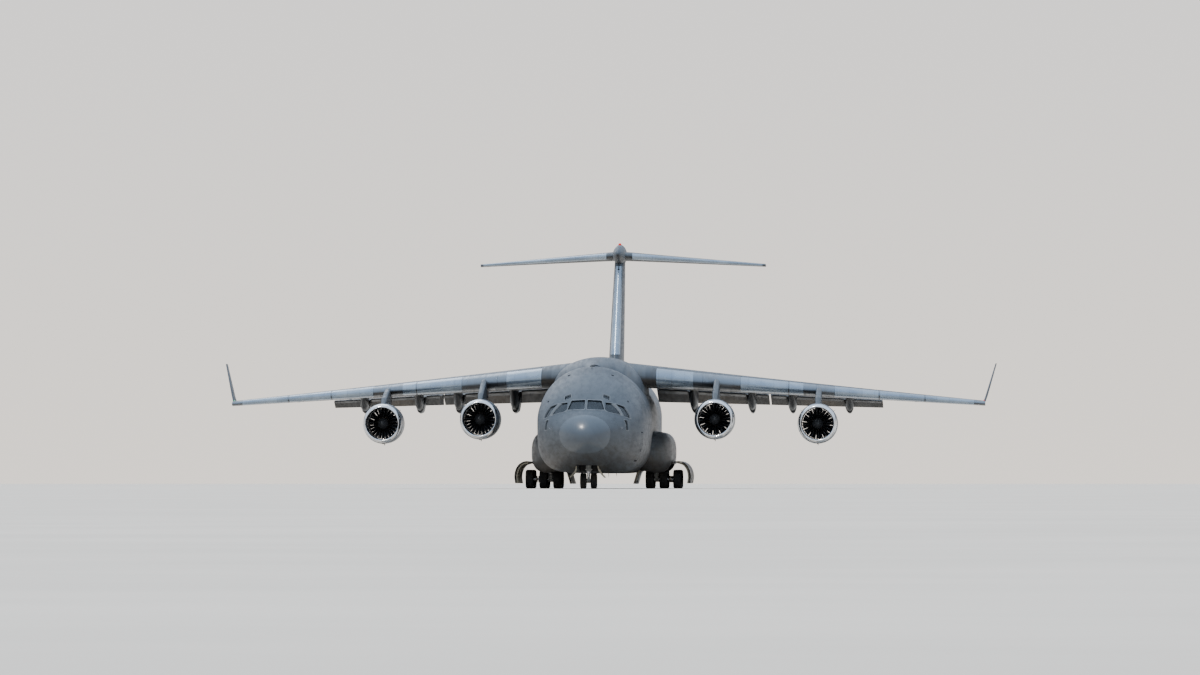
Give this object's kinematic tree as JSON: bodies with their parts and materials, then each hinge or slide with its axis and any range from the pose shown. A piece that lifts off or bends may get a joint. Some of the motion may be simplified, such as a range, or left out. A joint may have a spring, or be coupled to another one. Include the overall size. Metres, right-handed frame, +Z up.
{
  "type": "four-engined high-wing military transport plane, 1:2 scale model",
  "caption": "High-wing T-tail military transport plane at half scale, with underwing turbofans, drooped flaps, lowered gear, hollow hold, rear ramp and cargo door.",
  "frame": {"origin": "on the ground under the middle of the plane's length", "axes": "+X to port, +Y aft along the fuselage, +Z up; the nose points to -Y"},
  "size_m": [25.9168, 26.52, 8.395],
  "materials": {
    "hull_paint": "satin bluish-grey aircraft paint, lightly weathered",
    "wing_paint": "satin bluish-grey paint on light alloy, with streaks and panel lines",
    "cowl": "satin grey paint with a bright bare inlet lip",
    "hot_metal": "heat-tinted dark metal",
    "fan_metal": "dark bare blades",
    "gear_paint": "pale gloss gear paint with oil stains",
    "door_lining": "cream primer inside, grey outside",
    "cabin_paint": "matt grey",
    "tyre_rubber": "worn black rubber",
    "deck_glass": "clear smoke-tinted"
  },
  "bodies": {
    "airframe": {"aft_fuselage": "hull_paint", "cargo_floor": "cabin_paint", "center_fuselage": "hull_paint", "engine_left_inboard": "hot_metal", "engine_left_outboard": "hot_metal", "engine_right_inboard": "hot_metal", "engine_right_outboard": "hot_metal", "fin": "wing_paint", "flight_deck": "cabin_paint", "flight_deck_glass": "deck_glass", "gear_pod_left": "wing_paint", "gear_pod_right": "wing_paint", "inner_gear_doors_left": "door_lining", "inner_gear_doors_right": "door_lining", "main_strut_left_front": "gear_paint", "main_strut_left_rear": "gear_paint", "main_strut_right_front": "gear_paint", "main_strut_right_rear": "gear_paint", "nacelle_left_inboard": "cowl", "nacelle_left_outboard": "cowl", "nacelle_right_inboard": "cowl", "nacelle_right_outboard": "cowl", "nose_gear_door_left": "door_lining", "nose_gear_door_right": "door_lining", "nose_section": "hull_paint", "nose_strut": "gear_paint", "outer_gear_door_left": "wing_paint", "outer_gear_door_right": "wing_paint", "pylon_left_inboard": "wing_paint", "pylon_left_outboard": "wing_paint", "pylon_right_inboard": "wing_paint", "pylon_right_outboard": "wing_paint", "stabilizer": "wing_paint", "wing_fairing": "wing_paint", "wing_left": "wing_paint", "wing_right": "wing_paint"},
    "nose_leg": {"nose_fork": "gear_paint"},
    "nose_wheels": {"nose_wheels": "tyre_rubber"},
    "main_wheels_left_front": {"main_wheels_left_front": "tyre_rubber"},
    "main_wheels_left_rear": {"main_wheels_left_rear": "tyre_rubber"},
    "main_wheels_right_front": {"main_wheels_right_front": "tyre_rubber"},
    "main_wheels_right_rear": {"main_wheels_right_rear": "tyre_rubber"},
    "fan_left_inboard": {"fan_left_inboard": "fan_metal"},
    "fan_left_outboard": {"fan_left_outboard": "fan_metal"},
    "fan_right_inboard": {"fan_right_inboard": "fan_metal"},
    "fan_right_outboard": {"fan_right_outboard": "fan_metal"},
    "crew_door": {"crew_door": "hull_paint"},
    "cargo_ramp": {"cargo_ramp": "hull_paint"},
    "cargo_door": {"cargo_door": "hull_paint"},
    "flap_left_inboard": {"flap_left_inboard": "wing_paint"},
    "flap_left_outboard": {"flap_left_outboard": "wing_paint"},
    "flap_right_inboard": {"flap_right_inboard": "wing_paint"},
    "flap_right_outboard": {"flap_right_outboard": "wing_paint"},
    "aileron_left": {"aileron_left": "wing_paint"},
    "aileron_right": {"aileron_right": "wing_paint"},
    "elevator_left": {"elevator_left": "wing_paint"},
    "elevator_right": {"elevator_right": "wing_paint"},
    "rudder": {"rudder_lower": "wing_paint", "rudder_upper": "wing_paint"}
  },
  "joints": [
    {"name": "nose_steering", "type": "hinge", "parent": "airframe", "child": "nose_leg", "pos_m": [0, -10.33, 0.5], "axis": [0, 0, 1], "range_deg": [-65, 65]},
    {"name": "nose_wheel_spin", "type": "hinge", "parent": "nose_leg", "child": "nose_wheels", "pos_m": [0, -10.33, 0.24912], "axis": [1, 0, 0], "continuous": true},
    {"name": "main_wheel_spin_left_front", "type": "hinge", "parent": "airframe", "child": "main_wheels_left_front", "pos_m": [1.98, -1.035, 0.3114], "axis": [1, 0, 0], "continuous": true},
    {"name": "main_wheel_spin_left_rear", "type": "hinge", "parent": "airframe", "child": "main_wheels_left_rear", "pos_m": [1.98, 0.415, 0.3114], "axis": [1, 0, 0], "continuous": true},
    {"name": "main_wheel_spin_right_front", "type": "hinge", "parent": "airframe", "child": "main_wheels_right_front", "pos_m": [-1.98, -1.035, 0.3114], "axis": [1, 0, 0], "continuous": true},
    {"name": "main_wheel_spin_right_rear", "type": "hinge", "parent": "airframe", "child": "main_wheels_right_rear", "pos_m": [-1.98, 0.415, 0.3114], "axis": [1, 0, 0], "continuous": true},
    {"name": "fan_spin_left_inboard", "type": "hinge", "parent": "airframe", "child": "fan_left_inboard", "pos_m": [3.81, -5.075, 2.25], "axis": [0, 1, 0], "continuous": true},
    {"name": "fan_spin_left_outboard", "type": "hinge", "parent": "airframe", "child": "fan_left_outboard", "pos_m": [7.11, -3.225, 2.125], "axis": [0, 1, 0], "continuous": true},
    {"name": "fan_spin_right_inboard", "type": "hinge", "parent": "airframe", "child": "fan_right_inboard", "pos_m": [-3.81, -5.075, 2.25], "axis": [0, 1, 0], "continuous": true},
    {"name": "fan_spin_right_outboard", "type": "hinge", "parent": "airframe", "child": "fan_right_outboard", "pos_m": [-7.11, -3.225, 2.125], "axis": [0, 1, 0], "continuous": true},
    {"name": "crew_door_hinge", "type": "hinge", "parent": "airframe", "child": "crew_door", "pos_m": [1.46, -9.675, 0.95], "axis": [0.0665, 0.9978, 0], "range_deg": [0, 120]},
    {"name": "cargo_ramp_hinge", "type": "hinge", "parent": "airframe", "child": "cargo_ramp", "pos_m": [0, 3.6, 0.57], "axis": [-1, 0, 0], "range_deg": [0, 26]},
    {"name": "cargo_door_hinge", "type": "hinge", "parent": "airframe", "child": "cargo_door", "pos_m": [0, 9.365, 2.62], "axis": [-1, 0, 0], "range_deg": [0, 20]},
    {"name": "flap_left_inboard_hinge", "type": "hinge", "parent": "airframe", "child": "flap_left_inboard", "pos_m": [3.65, -0.23481, 2.76337], "axis": [-0.9508, -0.3094, 0.0183], "range_deg": [-25, 15]},
    {"name": "flap_left_outboard_hinge", "type": "hinge", "parent": "airframe", "child": "flap_left_outboard", "pos_m": [7.35, 0.96905, 2.69197], "axis": [-0.9508, -0.3094, 0.0183], "range_deg": [-25, 15]},
    {"name": "flap_right_inboard_hinge", "type": "hinge", "parent": "airframe", "child": "flap_right_inboard", "pos_m": [-3.65, -0.23481, 2.76337], "axis": [-0.9508, 0.3094, -0.0183], "range_deg": [-25, 15]},
    {"name": "flap_right_outboard_hinge", "type": "hinge", "parent": "airframe", "child": "flap_right_outboard", "pos_m": [-7.35, 0.96905, 2.69197], "axis": [-0.9508, 0.3094, -0.0183], "range_deg": [-25, 15]},
    {"name": "aileron_left_hinge", "type": "hinge", "parent": "airframe", "child": "aileron_left", "pos_m": [9.3, 1.83079, 3.05837], "axis": [-0.9566, -0.2831, 0.0686], "range_deg": [-20, 20]},
    {"name": "aileron_right_hinge", "type": "hinge", "parent": "airframe", "child": "aileron_right", "pos_m": [-9.3, 1.83079, 3.05837], "axis": [-0.9566, 0.2831, -0.0686], "range_deg": [-20, 20]},
    {"name": "elevator_left_hinge", "type": "hinge", "parent": "airframe", "child": "elevator_left", "pos_m": [0.375, 11.42399, 7.98031], "axis": [-0.9483, -0.3135, 0.0498], "range_deg": [-25, 15]},
    {"name": "elevator_right_hinge", "type": "hinge", "parent": "airframe", "child": "elevator_right", "pos_m": [-0.375, 11.42399, 7.98031], "axis": [-0.9483, 0.3135, -0.0498], "range_deg": [-25, 15]},
    {"name": "rudder_hinge", "type": "hinge", "parent": "airframe", "child": "rudder", "pos_m": [0, 9.39576, 4.175], "axis": [0, 0.4577, 0.8891], "range_deg": [-25, 25]}
  ],
  "couplings": [
    {"joint": "flap_left_outboard_hinge", "follows": "flap_left_inboard_hinge", "ratio": 1},
    {"joint": "flap_right_inboard_hinge", "follows": "flap_left_inboard_hinge", "ratio": 1},
    {"joint": "flap_right_outboard_hinge", "follows": "flap_left_inboard_hinge", "ratio": 1},
    {"joint": "aileron_right_hinge", "follows": "aileron_left_hinge", "ratio": -1},
    {"joint": "elevator_right_hinge", "follows": "elevator_left_hinge", "ratio": 1}
  ]
}
